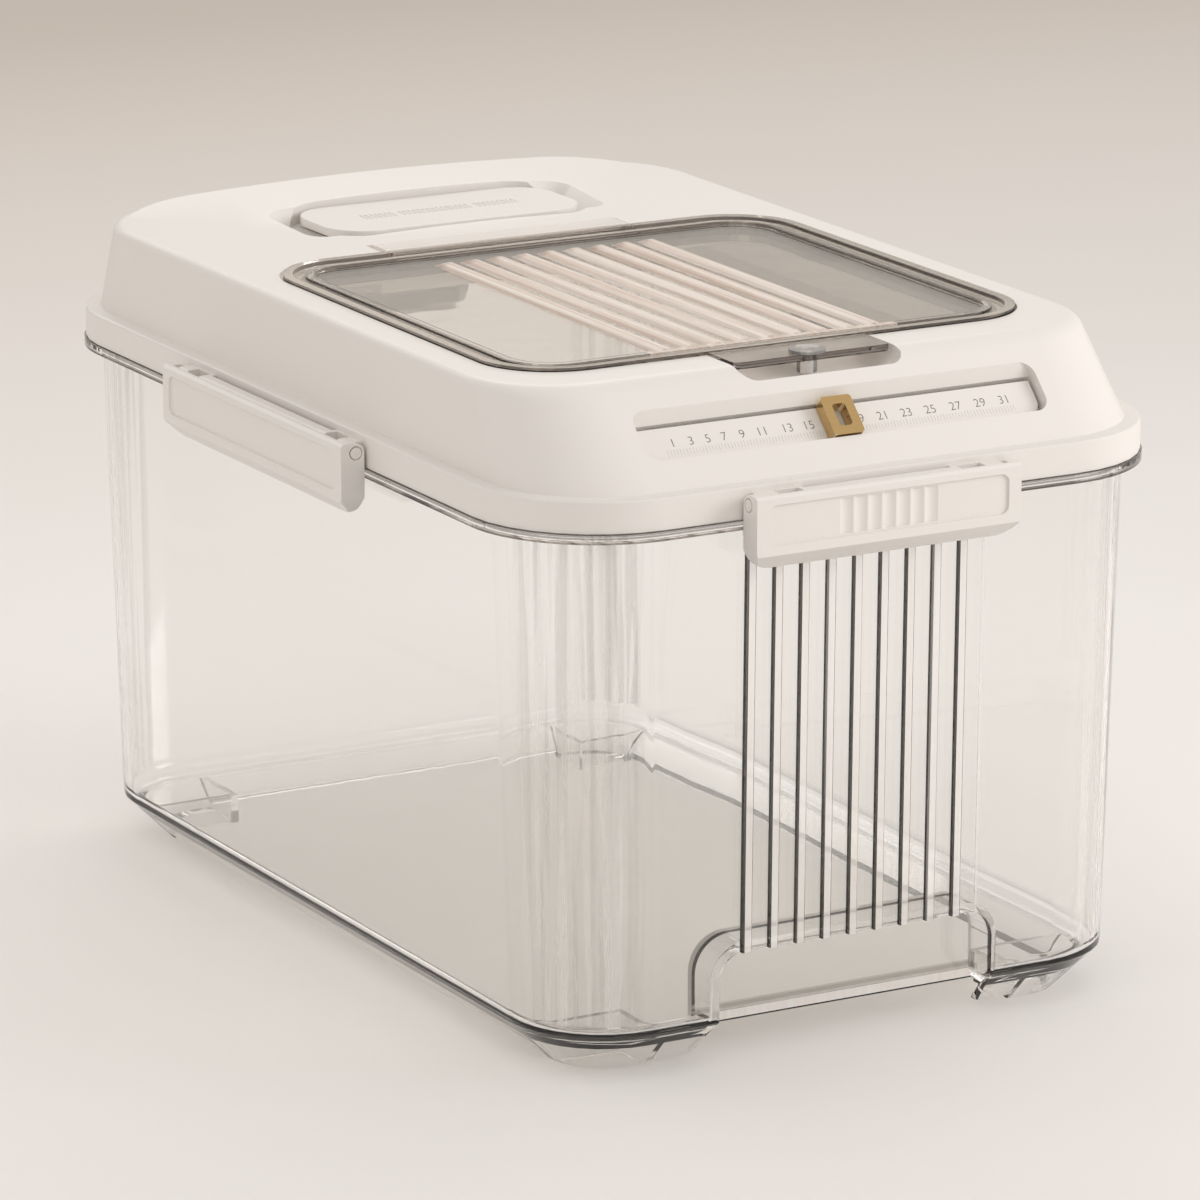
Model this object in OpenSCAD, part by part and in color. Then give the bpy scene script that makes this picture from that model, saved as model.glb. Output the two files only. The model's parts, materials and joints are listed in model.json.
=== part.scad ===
// Dry-food bin: clear drafted tub, white lid with a hinged see-through flip lid, a desiccant
// compartment, a date scale with a sliding marker, and a swing latch on each of the four sides.
// Millimetres. X is the width, Y the depth with the front at -Y, Z is up from the table.

/* [Lid rim] */
// Width of the lid rim
rim_w = 240; // [236:1:290]
// Depth of the lid rim
rim_d = 364; // [352:1:430]
// Corner radius of the lid rim
rim_r = 44; // [36:1:50]
// Height of the skirt that hangs round the rim
skirt_h = 10.5; // [10:0.5:14]
// Wall thickness of the skirt, and of the locating rib inside it
skirt_t = 2.4; // [1.8:0.1:3]

/* [Tub] */
// Height of the top face of the tub's flange
flange_z = 181.7; // [140:0.1:260]
// Thickness of the flange
flange_t = 3; // [2:0.5:4]
// How far the flange stands out past the lid rim
flange_out = 0.6; // [0.2:0.1:0.8]
// Wall thickness of the tub
wall_t = 2.6; // [2:0.1:3.4]
// How far the wall lies inside the lid rim, at the flange
wall_in = 5.8; // [5:0.1:8]
// Inward draft of the side walls from flange to base
draft_x = 5.4; // [2:0.1:8]
// Inward draft of the front and back walls from flange to base
draft_y = 2.4; // [1:0.1:8]
// Corner radius of the tub at the base
base_r = 34; // [30:1:44]
// Height and width of the bevel round the base
base_bevel = 15; // [13:0.5:18]
// Height of the tub's rim above the flange
tub_lip = 6.3; // [4:0.1:6.5]
// Height of the underside of the floor
floor_under = 10; // [7:0.5:11]
// Thickness of the floor
floor_t = 3; // [2:0.1:4]
// Radius between the floor and the walls inside
floor_fillet = 6; // [3:0.5:12]

/* [Feet] */
// How far the underside is raised between the corner feet
foot_rise = 2; // [1:0.5:4]
// Distance from the corner feet to the middle plane, across the width
foot_x = 67; // [62:1:74]
// Distance from the corner feet to the middle plane, along the depth
foot_y = 138; // [120:1:145]
// Thickness of the ribs that close the corner feet
foot_rib_t = 2.2; // [1.6:0.1:3]

/* [Hand grip] */
// Half width of the grip pocket in the front wall
grip_hw = 51; // [46:0.5:54]
// Height of the top of the grip pocket
grip_top = 38; // [32:0.5:50]
// Radius of the pocket's upper corners
grip_r = 10; // [6:0.5:14]
// Depth of the pocket behind the front wall
grip_depth = 14; // [10:0.5:18]
// How much each side of the pocket flares out at the table
grip_flare = 4; // [1:0.5:6]

/* [Front ribs] */
// Number of upright ribs on the front wall
rib_count = 9; // [5:1:9]
// Distance from one rib to the next
rib_pitch = 9.73; // [8:0.01:10]
// Width of one rib
rib_w = 3.4; // [2.4:0.1:4.4]
// How far a rib stands out of the wall
rib_out = 2.2; // [1.2:0.1:3]
// How far the panel that carries the ribs stands out of the wall
panel_out = 0.5; // [0.3:0.1:0.8]

/* [Lid dome] */
// Height of the dome above the ledge
dome_h = 29; // [27:0.5:34]
// Width of the ledge between the rim and the dome
dome_in = 5.3; // [4.5:0.1:7]
// Inward draft of the dome's sides and back
dome_draft = 3.9; // [2:0.1:6]
// Wall thickness of the dome
dome_t = 2.4; // [2:0.1:3]
// Radius of the dome's top edge
dome_fillet = 2.4; // [1.8:0.1:3.2]
// Rise of the shallow crown at the dome's back edge
crown_h = 5.3; // [3:0.1:6]
// Radius of the soft crease between the front slope and the top
crease_r = 14; // [8:1:20]
// Corner radius of the dome's top at the front
dome_front_r = 30; // [24:1:38]

/* [Flip lid] */
// Width of the flip lid
flip_w = 196; // [180:1:200]
// Depth of the flip lid
flip_d = 185; // [160:1:188]
// Corner radius of the flip lid
flip_r = 26; // [22:1:34]
// Distance from the dome's crease to the flip lid's front edge
flip_setback = 20.7; // [18:0.1:26]
// Thickness of the flip lid's plate
flip_t = 2; // [1.6:0.1:2.6]
// Height of the bead round the flip lid, above its plate
bead_h = 1.4; // [0.8:0.1:2]
// Depth of the seat that the flip lid lies in
seat_depth = 2.6; // [2.4:0.1:3]
// Width of the ledge under the flip lid's edge
seat_ledge = 6; // [5:0.1:8]
// Depth of the plug under the flip lid
plug_h = 5.7; // [5:0.1:7]
// Height of the silicone ring round the plug
flip_seal_h = 3; // [2:0.1:3.6]
// Radius of the long ridges on the flip lid
ridge_r = 5; // [4.2:0.1:7]
// Width of one long ridge
ridge_w = 7.2; // [5:0.1:7.6]
// Length of the long ridges
ridge_len = 154; // [120:1:160]

/* [Flip hinge] */
// Half width of the hinge tab at the back of the flip lid
hinge_hw = 47; // [36:1:52]
// Distance from the flip lid's back edge to the hinge axis
hinge_back = 8; // [6.5:0.1:9]
// Depth of the hinge axis below the dome's top
hinge_down = 3.9; // [3.7:0.1:4.4]
// Radius of the hinge barrel
barrel_r = 2.7; // [2.4:0.1:3]
// Radius of the hinge pins
hinge_pin_r = 1.3; // [1:0.1:1.5]
// How far each hinge pin reaches into the barrel
hinge_pin_in = 8; // [5:0.5:12]

/* [Front tab] */
// Half width of the lift tab at the front of the flip lid
tab_hw = 29; // [24:0.5:32]
// How far the lift tab reaches out
tab_out = 16.5; // [14:0.5:18]
// Thickness of the tabs
tab_t = 2.3; // [1.8:0.1:2.6]
// Radius of the finger scoop under the lift tab
scoop_r = 15; // [14:0.5:18]
// Depth of the scoop below the dome's top
scoop_depth = 7.5; // [6.5:0.5:8]
// Radius of the bumper's head on top of the tab
bumper_head_r = 6; // [4.5:0.1:7]
// Radius of the bumper's stem through the tab
bumper_stem_r = 2.5; // [1.8:0.1:3]
// Radius of the bumper's foot under the tab
bumper_foot_r = 3.3; // [3.1:0.1:4]

/* [Desiccant compartment] */
// Width of the compartment's cover
cover_w = 98; // [88:1:110]
// Depth of the compartment's cover
cover_d = 44; // [42:1:50]
// Corner radius of the cover
cover_r = 15; // [12:0.5:18]
// Thickness of the cover's plate
cover_t = 3; // [2.4:0.1:3.6]
// Distance from the hinge tab's back edge to the cover
cover_gap = 17.7; // [15:0.1:26]
// Width of the cup under the cover
cup_w = 84; // [76:1:86]
// Depth of the cup, front to back
cup_d = 32; // [28:1:34]
// Height of the cup below its flange
cup_h = 20.6; // [14:0.1:22]
// Wall thickness of the cup
cup_t = 1.4; // [1:0.1:2]
// How far the cup's flange stands out
cup_flange = 3; // [2.5:0.1:3.5]
// Number of vent slots in the cup's bottom
vent_count = 12; // [6:1:14]
// Distance from the cover's ends to the outer ends of the finger hollows
hollow_w = 8.2; // [7.4:0.1:12]
// Depth of the finger hollows below the dome's top
hollow_depth = 7; // [6:0.1:7.5]

/* [Date scale] */
// Half length of the recess in the front slope
scale_hw = 74; // [66:1:80]
// Height of the recess, along the slope
scale_h = 18.6; // [17:0.1:19]
// Distance from the ledge to the recess, along the slope
scale_up = 11.4; // [10:0.1:12]
// Depth of the recess
scale_depth = 6.6; // [6.5:0.1:7.2]
// Height of the scale strip, along the slope
strip_h = 12.2; // [10:0.1:12.4]
// Thickness of the scale strip
strip_t = 1.4; // [1.2:0.1:1.5]
// Depth of the strip's face below the slope
strip_down = 3.6; // [3.2:0.1:3.6]
// Width of the marker that slides on the strip
marker_w = 11.2; // [9:0.1:16]
// Thickness of the marker's claws
claw_t = 0.7; // [0.5:0.05:0.8]
// How far the marker stands out of the slope
marker_out = 1; // [0.5:0.1:1.6]
// Place of the marker along the scale
marker_x = -1.4; // [-50:0.1:50]

/* [Latches] */
// Length of the latches on the front and back
latch_short = 97; // [84:1:120]
// Length of the latches on the sides
latch_long = 132; // [110:1:190]
// Height of the latches
latch_h = 24.2; // [22:0.1:30]
// How far the latches stand out of the rim
latch_out = 9.6; // [9.4:0.1:11]
// Wall thickness of the latches' faces
latch_t = 2.4; // [2:0.1:2.6]
// Thickness of the latches' end cheeks
cheek_t = 3.2; // [2.4:0.1:4]
// Bevel along the latches' lower edge
latch_bevel = 5; // [3:0.5:6]
// Radius of the lower corners of the latches' faces
latch_r = 7; // [4:0.5:9]
// Radius of the latch pins
pin_r = 1.9; // [1.4:0.1:2]
// How far each latch pin reaches into the lid's hinge bar
pin_in = 6; // [4:0.5:8]
// Number of grip flutes on the short latches
flute_count = 7; // [4:1:9]
// Distance from one grip flute to the next
flute_pitch = 5.2; // [4:0.1:6]

/* [Fits] */
// Gap between pieces that rest on each other
seat_gap = 0.3; // [0.3:0.05:0.4]
// Radial running clearance of the hinge pins
run_gap = 0.05; // [0.02:0.01:0.08]
// Side clearance between moving pieces
side_gap = 0.4; // [0.35:0.05:0.6]

/* [Hidden] */
$fn = 64;
eps = 0.1;
far = 60;
corner_steps = 8;
clear_plastic = [0.87, 0.89, 0.88, 0.35];
smoked_plastic = [0.55, 0.52, 0.50, 0.55];
white_plastic = [0.93, 0.91, 0.88];
dark_silicone = [0.20, 0.19, 0.19];
pale_silicone = [0.84, 0.83, 0.81];
brass = [0.78, 0.62, 0.33];
steel = [0.78, 0.78, 0.79];

// Heights from the tub up
skirt_z = flange_z + seat_gap;
ledge_z = skirt_z + skirt_h;
top_z = ledge_z + dome_h;
lip_z = flange_z + tub_lip;
floor_z = floor_under + floor_t;

// Half sizes of the tub's outside at a height, and its corner radius there
wall_x0 = rim_w / 2 - wall_in - draft_x;
wall_y0 = rim_d / 2 - wall_in - draft_y;
lip_r = rim_r - wall_in;
function rise(z) = (z - base_bevel) / (flange_z - base_bevel);
function wall_x(z) = z < base_bevel ? wall_x0 - base_bevel + z : wall_x0 + draft_x * rise(z);
function wall_y(z) = z < base_bevel ? wall_y0 - base_bevel + z : wall_y0 + draft_y * rise(z);
function wall_r(z) = z < base_bevel ? base_r - base_bevel + z : base_r + (lip_r - base_r) * rise(z);

// The locating rib under the lid reaches down inside the tub's lip
rib_gap = 0.8;
rib_out_x = wall_x(lip_z) - wall_t - rib_gap;
rib_out_y = wall_y(lip_z) - wall_t - rib_gap;
rib_out_r = wall_r(lip_z) - wall_t - rib_gap;
rib_bottom = skirt_z + 1.5;
ledge_t = 2.2;
ledge_under = ledge_z - ledge_t;

// Front slope and top of the dome
crease_y = -rim_d / 2 + dome_in + dome_h;
slope_y = -rim_d / 2 + dome_in;
dome_r = rim_r - dome_in;

// Flip lid, its seat and its hinge
flip_front = crease_y + flip_setback;
flip_y = flip_front + flip_d / 2;
seat_z = top_z - seat_depth;
flip_z = seat_z + seat_gap;
plate_z = flip_z + flip_t;
swing_gap = 1.5;
open_w = flip_w - 2 * seat_ledge;
open_d = flip_d - 2 * seat_ledge;
open_r = flip_r - seat_ledge;
collar_z = flip_z - plug_h - 2.2;
hinge_y = flip_front + flip_d + hinge_back;
hinge_z = top_z - hinge_down;
tab_z = plate_z + bead_h * 0.6 - tab_t;
hinge_lap = 3.6;
tab_back = barrel_r + hinge_lap;
hinge_sweep = norm([tab_back, tab_z + tab_t - hinge_z]);
trough_floor = hinge_z - hinge_sweep - side_gap;
trough_back = hinge_y + hinge_sweep + side_gap;
trough_front = flip_front + flip_d - 0.7;
trough_hw = hinge_hw + 1.5;
scoop_z = top_z - scoop_depth + scoop_r;
scoop_y = crease_y + 5.7;
bumper_y = flip_front - tab_out + bumper_stem_r + 1.5;

// Crown of the dome behind the hinge: a wide arch that climbs to the back edge
crown_gap = 2;
crown_y = trough_back + crown_gap;
crown_in = dome_in + dome_draft + dome_fillet + 0.3;
crown_back = rim_d / 2 - crown_in;
crown_hw = rim_w / 2 - crown_in;
crown_len = crown_back - crown_h - crown_y;
crown_r = (pow(crown_hw - 2, 2) + pow(crown_h, 2)) / (2 * crown_h);

// Desiccant compartment
cover_y = hinge_y + tab_back + cover_gap + cover_d / 2;
cover_seat = top_z - 3.9;
cup_top = cover_seat + seat_gap + cup_t;
cover_z = cup_top + seat_gap;
hollow_x = cover_w / 2 + 1;
well_w = cover_w + 8;
well_d = cover_d + 4;
well_r = cover_r + 2;

// Date scale, in the frame of the front slope
marker_h = strip_h + 2 * (claw_t + seat_gap);
strip_y = scale_up + side_gap + marker_h / 2;
strip_hw = scale_hw - 1.2;
scale_r = 5;
strip_pad = 5;

// Latches: profile distances are measured outward from the rim's face
bar_gap = 0.35;
latch_inner = latch_out - latch_t;
axis_out = latch_inner - 3.1;
axis_z = ledge_z - 5.1;
cheek_back = flange_out + side_gap;
bar_r = latch_inner - axis_out - 0.3;
bar_bottom = axis_z - 2.8;
latch_top = axis_z + 3.4;
latch_bottom = latch_top - latch_h;
hook_top = flange_z - flange_t - 0.4;

// ---- shared shapes ----

// One quarter of a rounded outline, counter-clockwise from angle a
function quarter(cx, cy, r, a) = [for (i = [0 : corner_steps])
    [cx + r * cos(a + 90 * i / corner_steps), cy + r * sin(a + 90 * i / corner_steps)]];

// Rounded rectangle between yf and yb, with its own corner radius at the front and at the back
function outline(hx, yf, yb, rf, rb) = concat(
    quarter(hx - rf, yf + rf, rf, -90), quarter(hx - rb, yb - rb, rb, 0),
    quarter(rb - hx, yb - rb, rb, 90), quarter(rf - hx, yf + rf, rf, 180));

// Solid through a stack of outlines; each section is [height, outline]
module loft(sections) {
    n = 4 * (corner_steps + 1);
    last = len(sections) - 1;
    points = [for (s = sections) for (p = s[1]) [p[0], p[1], s[0]]];
    sides = [for (k = [0 : last - 1]) for (i = [0 : n - 1]) for (half = [0, 1])
        let (a = k * n + i, b = k * n + (i + 1) % n)
        half == 0 ? [a, a + n, b + n] : [a, b + n, b]];
    polyhedron(points, concat([[for (i = [0 : n - 1]) i]], sides,
        [[for (i = [n - 1 : -1 : 0]) last * n + i]]));
}

// Rounded rectangle round the origin
module rounded(w, d, r) {
    square([w - 2 * r, d], center = true);
    square([w, d - 2 * r], center = true);
    for (x = [-1, 1], y = [-1, 1])
        translate([x * (w / 2 - r), y * (d / 2 - r)])
            circle(r);
}

module slab(w, d, r, z0, z1, y = 0) {
    translate([0, y, z0])
        linear_extrude(z1 - z0)
            rounded(w, d, r);
}

module frame_ring(w, d, r, t, z0, z1, y = 0) {
    difference() {
        slab(w, d, r, z0, z1, y);
        slab(w - 2 * t, d - 2 * t, r - t, z0 - eps, z1 + eps, y);
    }
}

// Extrudes a profile drawn in Y and Z along X, over a length centred on the middle plane
module along_x(l) {
    rotate([90, 0, 90])
        translate([0, 0, -l / 2])
            linear_extrude(l)
                children();
}

module rod_x(x0, x1, r, y, z) {
    translate([x0, y, z])
        rotate([0, 90, 0])
            cylinder(h = x1 - x0, r = r);
}

// Front slope's own frame: X across, Y up the slope from the ledge, Z out of it
module on_slope() {
    translate([0, slope_y, ledge_z])
        rotate([45, 0, 0])
            children();
}

// Side k of the rim, 0 front, 1 right, 2 back, 3 left: its face becomes the plane Y = 0, facing -Y
module on_side(k) {
    rotate([0, 0, 90 * k])
        translate([0, -side_half(k), 0])
            children();
}
function side_half(k) = (k % 2 == 0 ? rim_d : rim_w) / 2;
function latch_len(k) = k % 2 == 0 ? latch_short : latch_long;
function bar_len(k) = latch_len(k) - 2 * (cheek_t + bar_gap);

// ---- tub ----

function tub_section(z, inset = 0) = let (hx = wall_x(z) - inset, hy = wall_y(z) - inset, r = wall_r(z) - inset)
    [z, outline(hx, -hy, hy, r, r)];

// Inside of the tub: a filleted floor and drafted walls up through the lip
module tub_inside() {
    loft(concat(
        [for (a = [0 : 22.5 : 90])
            let (z = floor_z + floor_fillet * (1 - cos(a)), w = base_bevel + floor_fillet)
            [z, tub_section(max(z, w), wall_t + floor_fillet * (1 - sin(a)))[1]]],
        [[lip_z + eps, tub_section(lip_z + eps, wall_t)[1]]]));
}

// Hollow under the floor, open to the table, inside the bevelled base ring
module base_hollow() {
    ring_t = wall_t * sqrt(2);
    difference() {
        loft([[-eps, tub_section(0, ring_t)[1]], [floor_under, tub_section(floor_under, ring_t)[1]]]);
        for (x = [-1, 1])
            translate([x * (foot_x + foot_rib_t / 2), 0, 0])
                for (y = [-1, 1])
                    translate([-foot_rib_t / 2, y > 0 ? foot_y : -rim_d / 2, -1])
                        cube([foot_rib_t, rim_d / 2 - foot_y, floor_under + 2]);
        for (x = [-1, 1], y = [-1, 1])
            translate([x > 0 ? foot_x : -rim_w / 2, y > 0 ? foot_y : -foot_y - foot_rib_t, -1])
                cube([rim_w / 2 - foot_x, foot_rib_t, floor_under + 2]);
    }
}

// Arch of the hand grip, drawn in X and Z; grow widens it for the pocket's own wall
module grip_arch(grow) {
    hw = grip_hw + grow;
    r = grip_r + grow;
    translate([-hw, -eps])
        square([2 * hw, grip_top + grow - r + eps]);
    translate([r - hw, -eps])
        square([2 * (hw - r), grip_top + grow + eps]);
    for (x = [-1, 1])
        translate([x * (hw - r), grip_top + grow - r])
            circle(r);
}

module grip_pocket(grow, depth) {
    translate([0, -wall_y0 + depth, 0])
        rotate([90, 0, 0])
            linear_extrude(depth + 20)
                grip_arch(grow);
}

module grip_cut() {
    grip_pocket(0, grip_depth);
    translate([0, -wall_y0 + grip_depth + 12, 0])
        rotate([90, 0, 0])
            linear_extrude(grip_depth + 30)
                polygon([[-grip_hw, floor_under], [grip_hw, floor_under],
                    [grip_hw + grip_flare, -1], [-grip_hw - grip_flare, -1]]);
    translate([0, -wall_y0 + grip_depth, 0])
        rotate([90, 0, 0])
            linear_extrude(grip_depth + 20)
                polygon([[-grip_hw, base_bevel], [grip_hw, base_bevel],
                    [grip_hw + grip_flare, -1], [-grip_hw - grip_flare, -1]]);
}

// Raised panel with upright ribs, leaning with the front wall from the grip to the flange
module front_ribs() {
    z0 = grip_top - base_bevel - 2;
    z1 = flange_z - flange_t / 2 - base_bevel;
    band = rib_count * rib_pitch;
    edge = rib_w * 0.15;
    translate([0, -wall_y0, base_bevel])
        rotate([atan(draft_y / (flange_z - base_bevel)), 0, 0])
            translate([-band / 2, 0, z0])
                linear_extrude(z1 - z0) {
                    translate([0, -panel_out])
                        square([band, panel_out + wall_t / 2]);
                    for (i = [0 : rib_count - 1])
                        translate([i * rib_pitch, 0])
                            polygon([[0, wall_t / 2], [0, edge - rib_out], [edge, -rib_out],
                                [rib_w - edge, -rib_out], [rib_w, edge - rib_out], [rib_w, wall_t / 2]]);
                }
}

module tub() {
    color(clear_plastic)
        difference() {
            union() {
                loft([tub_section(0), tub_section(base_bevel), tub_section(lip_z)]);
                slab(rim_w + 2 * flange_out, rim_d + 2 * flange_out, rim_r + flange_out,
                    flange_z - flange_t, flange_z);
                front_ribs();
            }
            difference() {
                tub_inside();
                grip_pocket(wall_t, grip_depth + wall_t);
            }
            base_hollow();
            grip_cut();
            translate([-foot_x, -rim_d, -1])
                cube([2 * foot_x, 2 * rim_d, foot_rise + 1]);
            translate([-rim_w, -foot_y, -1])
                cube([2 * rim_w, 2 * foot_y, foot_rise + 1]);
        }
}

// ---- lid frame ----

// Inset of the front slope from the dome's foot at a height, for a skin t below the surface
function slope_in(z, t) =
    let (h = top_z - t - z, r = crease_r - t, straight = z - ledge_z + t * sqrt(2))
    h >= r * (1 - cos(45)) ? straight
        : dome_h - t + t * sqrt(2) + r * tan(22.5) - r * sin(acos(1 - max(h, 0) / r));

function dome_outline(z, t, fillet_in) =
    let (side = dome_in + t + dome_draft * (z - ledge_z) / dome_h + fillet_in,
        front = dome_in + slope_in(z, t),
        rf = dome_r + (dome_front_r - dome_r) * (z - ledge_z) / dome_h - t - fillet_in * 0.5,
        rb = dome_r - t - fillet_in * 0.5)
    outline(rim_w / 2 - side, front - rim_d / 2, rim_d / 2 - side, rf, rb);

// Rings of the dome's wall and filleted top edge, for a skin t below the surface
function dome_rings(z0, t) = let (f = max(dome_fillet - t, 1), bend = (crease_r - t) * (1 - cos(45))) concat(
    [[z0, dome_outline(z0, t, 0)]],
    [for (part = [1, 0.75]) if (bend * part > f + 0.3)
        let (z = top_z - t - bend * part)
        [z, dome_outline(z, t, 0)]],
    [for (a = [0 : 18 : 90])
        let (z = top_z - t - f * (1 - sin(a)))
        [z, dome_outline(z, t, f * (1 - cos(a)))]]);

// Crown with 45 degree shoulders, for a skin t below the surface
module crown(t) {
    tall = crown_h + 2;
    crown_corner = dome_r - dome_fillet / 2 + 0.4;
    intersection() {
        translate([0, crown_y, top_z - t])
            rotate([atan(crown_h / crown_len), 0, 0])
                translate([0, -3, -crown_r])
                    rotate([-90, 0, 0])
                        cylinder(h = rim_d / 2, r = crown_r, $fn = 900);
        loft([for (z = [-1 - t, tall])
            let (side = z + t * sqrt(2))
            [top_z + z, outline(crown_hw - side, crown_y - 12, crown_back - side, 8, crown_corner - side)]]);
    }
}

module rim_body() {
    edge = 1.2;
    loft([for (s = [[skirt_z, 0], [ledge_z - edge, 0], [ledge_z - edge * 0.35, edge * 0.2], [ledge_z, edge]])
        [s[0], outline(rim_w / 2 - s[1], s[1] - rim_d / 2, rim_d / 2 - s[1], rim_r - s[1], rim_r - s[1])]]);
}

module dome_inside() {
    hx = rib_out_x - skirt_t;
    hy = rib_out_y - skirt_t;
    r = rib_out_r - skirt_t;
    loft(concat([[ledge_under - eps, outline(hx, -hy, hy, r, r)]], dome_rings(ledge_z + 1.5, dome_t)));
    crown(dome_t);
}

module skirt_inside() {
    difference() {
        slab(rim_w - 2 * skirt_t, rim_d - 2 * skirt_t, rim_r - skirt_t, skirt_z - eps, ledge_under);
        frame_ring(2 * rib_out_x, 2 * rib_out_y, rib_out_r, skirt_t, rib_bottom, ledge_z);
    }
}

// Barrel with rounded ends that lies along X
module scoop_shape(grow) {
    hw = tab_hw + 1 + grow;
    r = scoop_r + grow;
    round_r = 6;
    translate([0, scoop_y, scoop_z])
        rotate([0, 90, 0])
            rotate_extrude() {
                translate([0, -hw])
                    square([r - round_r, 2 * hw]);
                translate([0, round_r - hw])
                    square([r, 2 * (hw - round_r)]);
                for (x = [-1, 1])
                    translate([r - round_r, x * (hw - round_r)])
                        circle(round_r);
            }
}

// Dished ends of the compartment's well
module hollow_shapes(grow) {
    floor_hw = 1.2;
    floor_hd = cover_d / 2 - 10;
    lean = (hollow_w - 1 - floor_hw) / hollow_depth * 1.15;
    for (x = [-1, 1])
        translate([x * hollow_x, cover_y, top_z - hollow_depth - grow])
            loft([for (z = [0, hollow_depth + crown_h + 2])
                let (hw = floor_hw + grow + lean * z, hd = floor_hd + grow + lean * z)
                [z, outline(hw, -hd, hd, hw * 0.9, hw * 0.9)]]);
}

// Walls that stand inside the dome round every recess
module dome_backing() {
    t = dome_t;
    slab(flip_w + 1 + 2 * t, flip_d + 0.5 + swing_gap + 2 * t, flip_r + t, seat_z - t, top_z - 1,
        flip_y + swing_gap / 2 - 0.25);
    slab(open_w + 2 * t, open_d + 2 * t, open_r + t, collar_z, seat_z, flip_y);
    translate([-trough_hw - 4, trough_front - t, trough_floor - t])
        cube([2 * trough_hw + 8, trough_back - trough_front + 2 * t, top_z + crown_h - trough_floor + t]);
    scoop_shape(t);
    slab(well_w + 2 * t, well_d + 2 * t, well_r + t, cover_seat - t, top_z + crown_h, cover_y);
    slab(cup_w + 1.4 + 2 * t, cup_d + 1.4 + 2 * t, 8 + t, cover_seat - 6, cover_seat, cover_y);
    hollow_shapes(t);
    on_slope()
        translate([0, scale_up + scale_h / 2, -scale_depth - t])
            linear_extrude(scale_depth + t - 1)
                rounded(2 * (scale_hw + t), scale_h + 2 * t, scale_r + t);
}

module dome_recesses() {
    slab(flip_w + 1, flip_d + 0.5 + swing_gap, flip_r, seat_z, top_z + 5, flip_y + swing_gap / 2 - 0.25);
    slab(open_w, open_d, open_r, collar_z - 5, top_z, flip_y);
    translate([-tab_hw - 1, scoop_y - 6, seat_z])
        cube([2 * tab_hw + 2, flip_front - scoop_y + 10, seat_depth + 5]);
    scoop_shape(0);
    translate([-trough_hw, trough_front, trough_floor])
        cube([2 * trough_hw, trough_back - trough_front, far]);
    for (x = [-1, 1])
        rod_x(x * (trough_hw + 1.5) - 1.8, x * (trough_hw + 1.5) + 1.8, hinge_pin_r + run_gap, hinge_y, hinge_z);
    slab(well_w, well_d, well_r, cover_seat, top_z + crown_h + 2, cover_y);
    slab(cup_w + 1.4, cup_d + 1.4, 8, collar_z - 15, cover_seat + eps, cover_y);
    hollow_shapes(0);
    difference() {
        on_slope()
            translate([0, scale_up + scale_h / 2, -scale_depth])
                linear_extrude(scale_depth + 5)
                    rounded(2 * scale_hw, scale_h, scale_r);
        strip_pads();
        scale_brow();
    }
}

// Upright upper face of the scale recess, clear of the marker's claws
module scale_brow() {
    top = scale_up + scale_h;
    foot = strip_y + marker_h / 2 + side_gap;
    on_slope()
        along_x(2 * scale_hw + 2)
            polygon([[foot, -scale_depth - 1], [foot, foot - top], [top + 1, 1], [top + 1, -scale_depth - 1]]);
}

// Blocks on the floor of the scale recess that carry the strip's ends
module strip_pads() {
    on_slope()
        for (x = [-1, 1])
            translate([x * (strip_hw - strip_pad / 2) - strip_pad / 2, strip_y - strip_h / 2, -scale_depth - 1])
                cube([strip_pad, strip_h, scale_depth + 1 - strip_down - strip_t]);
}

// Hinge bar for latch k, cored from above near each end, with a long slot between it and the rim
module hinge_bar(k) {
    l = bar_len(k);
    core_l = 9;
    core_end = l / 2 - pin_in - 1;
    slot_w = 1.7;
    slot_hl = core_end - core_l - 2;
    slot_floor = bar_bottom + 1.6;
    on_side(k)
        difference() {
            along_x(l) {
                translate([-axis_out, axis_z])
                    circle(bar_r);
                translate([-axis_out, bar_bottom])
                    square([axis_out + skirt_t / 2, axis_z + bar_r - bar_bottom]);
                translate([-axis_out - bar_r, bar_bottom])
                    square([bar_r + eps, axis_z - bar_bottom]);
            }
            for (x = [-1, 1]) {
                rod_x(x > 0 ? l / 2 - pin_in - 0.3 : -l / 2 - eps, x > 0 ? l / 2 + eps : pin_in + 0.3 - l / 2,
                    pin_r + run_gap, -axis_out, axis_z);
                translate([x > 0 ? core_end - core_l : -core_end, -axis_out - 1.6, bar_bottom + 1])
                    cube([core_l, axis_out + 0.6, far]);
            }
            translate([-slot_hl, -slot_w, slot_floor])
                cube([2 * slot_hl, slot_w + skirt_t, far]);
        }
}

module lid_frame() {
    color(white_plastic) {
        difference() {
            union() {
                rim_body();
                loft(dome_rings(ledge_z - 0.6, 0));
                crown(0);
            }
            difference() {
                union() {
                    dome_inside();
                    skirt_inside();
                }
                dome_backing();
            }
            dome_recesses();
        }
        for (k = [0 : 3])
            hinge_bar(k);
    }
}

module lid_seal() {
    inner = 0.6;
    color(pale_silicone)
        difference() {
            slab(rim_w - 2 * skirt_t - 2, rim_d - 2 * skirt_t - 2, rim_r - skirt_t - 1,
                lip_z + seat_gap, ledge_under);
            slab(2 * (rib_out_x + inner), 2 * (rib_out_y + inner), rib_out_r + inner,
                lip_z, ledge_z);
        }
}

// ---- flip lid ----

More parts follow.
